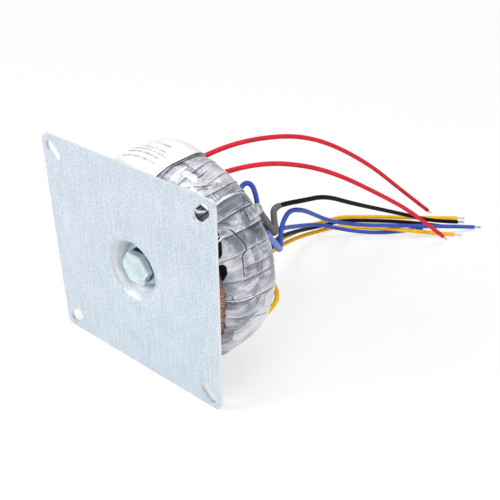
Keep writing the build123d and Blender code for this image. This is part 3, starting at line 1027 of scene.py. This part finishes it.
# Strokes on the near rim: a strength, then points of an angle in degrees, a distance from the
# plate's outer face in millimetres and half the stroke's width there
BLACK_STROKES = (
    (1.0, (41.2, 10.6, 1.4), (36.6, 9.7, 1.6)),
    (1.0, (34.6, 9.2, 1.9), (30.2, 7.8, 2.1)),
    (1.0, (22.2, 7.6, 1.9), (19.6, 7.6, 1.7), (16.6, 6.9, 1.0)),
    (0.52, (54.8, 10.6, 2.7), (48.2, 10.4, 2.3)),
    (0.5, (61.8, 15.0, 0.8), (60.0, 18.4, 1.0)),
    (0.6, (-25.5, 6.8, 0.6), (-25.0, 7.6, 0.4)),
)
# Painted glare: white reflections laid as strokes on the near rim
GLARE_STROKES = (
    (0.9, (72.0, 17.3, 1.9), (69.6, 18.0, 2.0), (67.0, 17.2, 1.3)),
    (0.9, (74.3, 11.0, 0.4), (75.4, 16.0, 0.9), (76.0, 20.0, 0.8)),
    (0.8, (56.2, 17.0, 0.28), (52.0, 17.3, 0.4)),
    (0.8, (56.4, 18.4, 0.4), (52.2, 18.8, 0.28)),
    (0.8, (55.6, 20.1, 0.3), (53.2, 20.1, 0.4)),
    (0.9, (50.8, 16.0, 0.5), (51.9, 22.0, 0.6), (51.6, 27.0, 0.5), (50.6, 32.0, 0.3)),
    (0.6, (62.8, 21.0, 1.3), (60.6, 26.0, 1.2)),
    (0.6, (64.6, 14.0, 0.7), (57.6, 14.6, 0.6)),
    (0.55, (41.0, 17.0, 1.0), (38.8, 22.4, 1.1)),
    (0.6, (11.6, 7.6, 0.3), (12.8, 13.9, 0.35), (13.2, 20.0, 0.3)),
    (0.62, (7.6, 10.2, 0.3), (9.0, 17.8, 0.4), (8.9, 23.0, 0.4)),
    (0.6, (54.6, 9.6, 0.5), (52.6, 9.8, 0.7), (51.0, 11.6, 0.5)),
    (0.9, (55.6, 12.8, 0.7), (51.4, 13.4, 0.6)),
    (0.9, (34.6, 8.2, 0.3), (36.8, 13.2, 0.3)),
    (0.7, (36.8, 9.2, 0.25), (38.6, 14.0, 0.25)),
)


def beside(sizes, angle, y, first, last):
    """Share of a line walked at the nearest point of it, and the distance from there.

    The line lies on the rim laid flat, so a way round it is the angle times the radius.
    """
    x = np.radians(turned_degrees(angle)) * sizes.radius
    x0, x1 = np.radians(first[0]) * sizes.radius, np.radians(last[0]) * sizes.radius
    y0, y1 = first[1] * MM, last[1] * MM
    run = (x1 - x0) ** 2 + (y1 - y0) ** 2
    share = np.clip(((x - x0) * (x1 - x0) + (y - y0) * (y1 - y0)) / run, 0, 1)
    return share, np.hypot(x - x0 - share * (x1 - x0), y - y0 - share * (y1 - y0))


def strokes(sizes, angle, y, r, lines):
    """Strength of each stroke inside it, half of that on its outline and 0 outside."""
    mask = 0 * angle * y
    for strength, *places in lines:
        for first, last in zip(places, places[1:]):
            share, away = beside(sizes, angle, y, first, last)
            half = (first[2] + (last[2] - first[2]) * share) * MM
            mask = np.maximum(mask, strength * np.clip(0.5 + (half - away) / (0.6 * MM), 0, 1))
    return mask * (r > 33 * MM)


# Raised folds in the film: points of an angle in degrees and a distance in millimetres
CREASES = (
    ((40.4, 12.7), (39.1, 15.0), (37.6, 16.3), (35.4, 17.3), (32.9, 18.2), (30.3, 19.2)),
    ((30.3, 19.2), (27.5, 19.9), (25.4, 19.3), (23.7, 16.3), (19.5, 15.5), (14.7, 14.8)),
    ((7.6, 8.4), (6.3, 9.5), (5.2, 9.0), (3.9, 9.9)),
    ((2.4, 8.3), (1.2, 9.2), (1.9, 10.4)),
    ((8.8, 10.2), (7.2, 11.4)),
    ((66, 12), (62, 17), (60, 24)),
    ((72, 16), (67, 20), (69, 27)),
    ((-14, 12), (-12.5, 21), (-16, 28)),
)


def creases(sizes, angle, y, r):
    """Raised folds: 1 on a line, fading to its sides with the square of the distance."""
    raised = 0 * angle * y
    for line in CREASES:
        for first, last in zip(line, line[1:]):
            away = beside(sizes, angle, y, first, last)[1]
            raised = np.maximum(raised, np.exp(-((away / (0.6 * MM)) ** 2)))
    return raised * (r > 30 * MM)


class TRANSFORMER_OT_label(bpy.types.Operator):
    """Label laid over the padded joints of the leads, with rows of plain grey bars"""

    bl_idname = "transformer.label"
    bl_label = "Label"

    def execute(self, context):
        sizes = context.scene.transformer_winding
        settings = context.scene.transformer_label
        half, middle = settings.half, settings.middle
        base = sizes.radius + settings.padding
        rise = base * (1 - cos(half)) + settings.bulge
        bulge = ((base * sin(half)) ** 2 + rise ** 2) / (2 * rise)
        away = base + settings.bulge - bulge
        across = np.linspace(-1, 1, 260)[None, :]
        rear = sizes.front + sizes.height
        y = np.linspace(sizes.front + settings.margin, rear - settings.margin, 150)[:, None]
        rounding = sizes.outer_round
        past = np.maximum(np.maximum(sizes.front + rounding - y, y - rear + rounding), 0)
        drop = rounding - np.sqrt(np.maximum(rounding ** 2 - past ** 2, 0))
        along = (y - y[0]) / (y[-1] - y[0])
        noise = smooth_noise((across + 1) / 2 + 0 * y, along + 0 * across, (9, 7), 3)
        r = bulge + 0.22 * MM - drop + 0.10 * MM * (noise - 0.5)
        turned = middle + across * (np.arcsin(base * sin(half) / bulge) * 0.985)
        grid = np.stack([
            sizes.centre_x + away * cos(middle) + r * np.cos(turned),
            y + 0 * turned,
            sizes.centre_z + away * sin(middle) + r * np.sin(turned),
        ], axis=-1)
        faces = grid_faces(*grid.shape[:2])[:, ::-1]
        piece = mesh_piece("plain_label", grid, faces, paper_label())
        thicken(piece, "paper", settings.paper)
        ink = label_bars(np.degrees(turned) + 0 * y, y + 0 * turned)
        ink[:, :4] = 1.0  # a dark line along the label's first edge
        point_values(piece, "ink", ink)
        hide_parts("rating_label")
        return {"FINISHED"}


# Rows of bars: distance from the plate's face in millimetres, first and last angle in degrees
LABEL_ROWS = (
    (23.9, 84, 99), (19.3, 81, 103), (16.8, 76, 112), (14.3, 79, 113), (11.7, 77, 114)
)


def label_bars(turned, y):
    """Rows of short grey bars along the label, each row cut into pieces of uneven length."""
    rng = np.random.default_rng(21)
    ink = np.zeros(turned.shape)
    for at, first, last in LABEL_ROWS:
        start = first
        while start < last:
            wide = 0.6 + 1.5 * rng.random()
            bar = (turned > start) & (turned < min(start + wide, last))
            bar = bar & (np.abs(y / MM - at) < 0.45)
            ink = np.where(bar, 0.42 + 0.37 * rng.random(), ink)
            start += wide + 0.5 + (1.8 if rng.random() > 0.8 else 0.3) * rng.random()
    return ink


class TRANSFORMER_OT_tab(bpy.types.Operator):
    """Small tab of film that holds a blue lead down at the rim"""

    bl_idname = "transformer.tab"
    bl_label = "Tape tab"

    def execute(self, context):
        sizes = context.scene.transformer_winding
        settings = context.scene.transformer_tape
        start, end = [np.array(place) for place in LEAD_ROUTES["blue_2"][4:6]]
        along = end - start
        along[1] = 0
        along /= np.linalg.norm(along)
        over = np.array((-along[2], 0, along[0]))
        across = np.linspace(-1, 1, 41)[:, None] * settings.half_length
        rows = np.linspace(-1, 1, 15)[None, :] * settings.half_width
        middle = start + (end - start) * 0.2
        flat = middle + across[..., None] * over + rows[..., None] * along
        r = np.hypot(flat[..., 0] - sizes.centre_x, flat[..., 2] - sizes.centre_z)
        rounding = sizes.outer_round
        past = np.clip(r - sizes.radius + rounding, 0, rounding * 0.98)
        film_y = sizes.front + sizes.height - rounding + np.sqrt(rounding ** 2 - past ** 2)
        hump = np.exp(-((np.abs(across) / settings.fold) ** 2.4))
        peak = start[1] + settings.over_lead - film_y
        ripple = 0.12 * MM * np.sin(rows / (0.7 * MM) + across / (1.1 * MM))
        flat[..., 1] = film_y + settings.gap + (peak - settings.gap) * hump + ripple
        piece = mesh_piece("tape_tab", flat, grid_faces(*flat.shape[:2]), clear_tape())
        thicken(piece, "tape", settings.tape)
        rise = np.linspace(0, 1, 28)
        lift = 0.2 * MM + settings.tail_lift * np.clip((rise - 0.45) / 0.4, 0, 1) ** 2
        strip = surface_strip(sizes, settings.tail_middle, settings.tail_half, 0.045, 0.165, lift)
        faces = grid_faces(*strip.shape[:2])
        tail = mesh_piece("film_tail", strip, faces, clear_tape())
        thicken(tail, "tape", settings.tail)
        return {"FINISHED"}


def surface_strip(sizes, middle, spread, start, end, lift):
    """Strip laid on the ring along +Y, lifted off it by the given distances.

    Its middle is an angle round the ring, start and end are shares of the section's
    outline, and each row's lift is measured along the outline's outward direction.
    """
    spots = np.linspace(start, end, len(lift))
    r, y, out_r, out_y = ring_outline(sizes, 0, spots)
    across = np.linspace(-1, 1, 13)
    raised = lift[:, None] * (1 - 0.45 * across[None, :] ** 2) + 0.2 * MM
    angle = middle + spread * across[None, :] + 0 * raised
    r = r[:, None] + out_r[:, None] * raised
    return around_ring(sizes, r, y[:, None] + out_y[:, None] * raised, angle)


class TRANSFORMER_OT_finishes(bpy.types.Operator):
    """Finishes of the plate, the fasteners, the pads and the hidden layers"""

    bl_idname = "transformer.finishes"
    bl_label = "Finishes"

    def execute(self, context):
        metal = context.scene.transformer_metal
        film_tones = context.scene.transformer_film
        dark, pale = film_tones.middle, film_tones.light
        for names, material in (
            (("mounting_plate", "rear_dish_washer"), zinc_sheet(metal)),
            (("centre_bolt", "hex_nut"), bright_steel("bolt_steel", metal.bolt, 0.22, metal)),
            (("flat_washer", "spring_washer"), bright_steel("washer_steel", metal.washer, 0.34)),
            (("front_pad", "rear_pad"), pad_rubber()),
            (("core_insulation", "winding_insulation"),
             hidden_layer("clear_insulation", (0.70, 0.68, 0.60), (0.82, 0.80, 0.72), 0.4)),
            (("core",), hidden_layer("core_steel", (0.22, 0.22, 0.24), (0.34, 0.34, 0.36), 0.5)),
            (("primary_winding",),
             hidden_layer("primary_copper", (0.42, 0.15, 0.08), (0.55, 0.22, 0.12), 0.35)),
            (("splice_pad",), hidden_layer("padding_film", dark, pale, 0.25)),
        ):
            for name in names:
                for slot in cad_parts[name].material_slots:
                    slot.material = material
        return {"FINISHED"}


class TRANSFORMER_OT_stage(bpy.types.Operator):
    """Pale floor and soft studio light"""

    bl_idname = "transformer.stage"
    bl_label = "Stage"

    def execute(self, context):
        settings = context.scene.transformer_stage
        ground = cad_box[0][2] - 0.02 * MM
        square = np.array([(-1, -1), (1, -1), (1, 1), (-1, 1)]) * settings.reach
        mesh = bpy.data.meshes.new("floor")
        mesh.from_pydata([(x, y, ground) for x, y in square.tolist()], [], [(0, 1, 2, 3)])
        mesh.materials.append(floor_paper(settings))
        floor = bpy.data.objects.new("floor", mesh)
        context.scene.collection.objects.link(floor)
        target = Vector((0.01, 0.03, -0.01))
        lamps = [
            ("key_lamp", (-0.55, -0.70, 0.55), 0.45, 6.2),
            ("top_lamp", (0.05, 0.10, 1.00), 0.70, 6.0),
            ("side_lamp", (0.80, -0.25, 0.45), 0.45, 2.6),
        ]
        for name, place, size, power in lamps:
            data = bpy.data.lights.new(name, "AREA")
            data.shape = "SQUARE"
            data.size = size
            data.energy = power * settings.lamp
            lamp = bpy.data.objects.new(name, data)
            lamp.location = place
            lamp.rotation_euler = (target - Vector(place)).to_track_quat("-Z", "Y").to_euler()
            context.scene.collection.objects.link(lamp)
        world = bpy.data.worlds.new("studio")
        context.scene.world = world
        sky = Finish("studio", world)
        white = (1, 1, 1)
        kind = "ShaderNodeBackground"
        inputs = {
            0: sky.node("ShaderNodeLightPath", output="Is Camera Ray"),
            1: sky.node(kind, {}, {"Color": white, "Strength": settings.sky}),
            2: sky.node(kind, {}, {"Color": white, "Strength": 1.0}),
        }
        mixed = sky.node("ShaderNodeMixShader", {}, inputs)
        sky.node("ShaderNodeOutputWorld", {}, {"Surface": mixed})
        context.scene.view_settings.view_transform = "Standard"
        return {"FINISHED"}


class TRANSFORMER_PT_sidebar(bpy.types.Panel):
    """Sizes, colours and steps of the transformer"""

    bl_label = "Transformer"
    bl_idname = "TRANSFORMER_PT_sidebar"
    bl_space_type = "VIEW_3D"
    bl_region_type = "UI"
    bl_category = "Transformer"

    def draw(self, context):
        for step in STEPS:
            self.layout.operator(step.bl_idname)
        for name, group in GROUPS.items():
            box = self.layout.box()
            box.label(text=group.__doc__)
            for prop in group.__annotations__:
                box.prop(getattr(context.scene, name), prop)


GROUPS = {
    "transformer_winding": WindingSizes,
    "transformer_film": FilmSettings,
    "transformer_copper": CopperSettings,
    "transformer_metal": MetalSettings,
    "transformer_label": LabelSettings,
    "transformer_tape": TapeSettings,
    "transformer_leads": LeadSettings,
    "transformer_stage": StageSettings,
}
STEPS = (
    TRANSFORMER_OT_camera,
    TRANSFORMER_OT_leads,
    TRANSFORMER_OT_copper,
    TRANSFORMER_OT_film,
    TRANSFORMER_OT_label,
    TRANSFORMER_OT_tab,
    TRANSFORMER_OT_finishes,
    TRANSFORMER_OT_stage,
)


def register():
    """Makes the settings, the steps and the sidebar known to Blender."""
    for group in (*GROUPS.values(), *STEPS, TRANSFORMER_PT_sidebar):
        bpy.utils.register_class(group)
    for name, group in GROUPS.items():
        setattr(bpy.types.Scene, name, PointerProperty(type=group))


def unregister():
    """Takes them away again."""
    for name in GROUPS:
        delattr(bpy.types.Scene, name)
    for group in reversed((*GROUPS.values(), *STEPS, TRANSFORMER_PT_sidebar)):
        bpy.utils.unregister_class(group)


def main():
    """Builds the whole model."""
    register()
    bpy.ops.transformer.camera()
    bpy.ops.transformer.leads()
    bpy.ops.transformer.copper()
    bpy.ops.transformer.film()
    bpy.ops.transformer.label()
    bpy.ops.transformer.tab()
    bpy.ops.transformer.finishes()
    bpy.ops.transformer.stage()


if __name__ == "__main__":
    main()
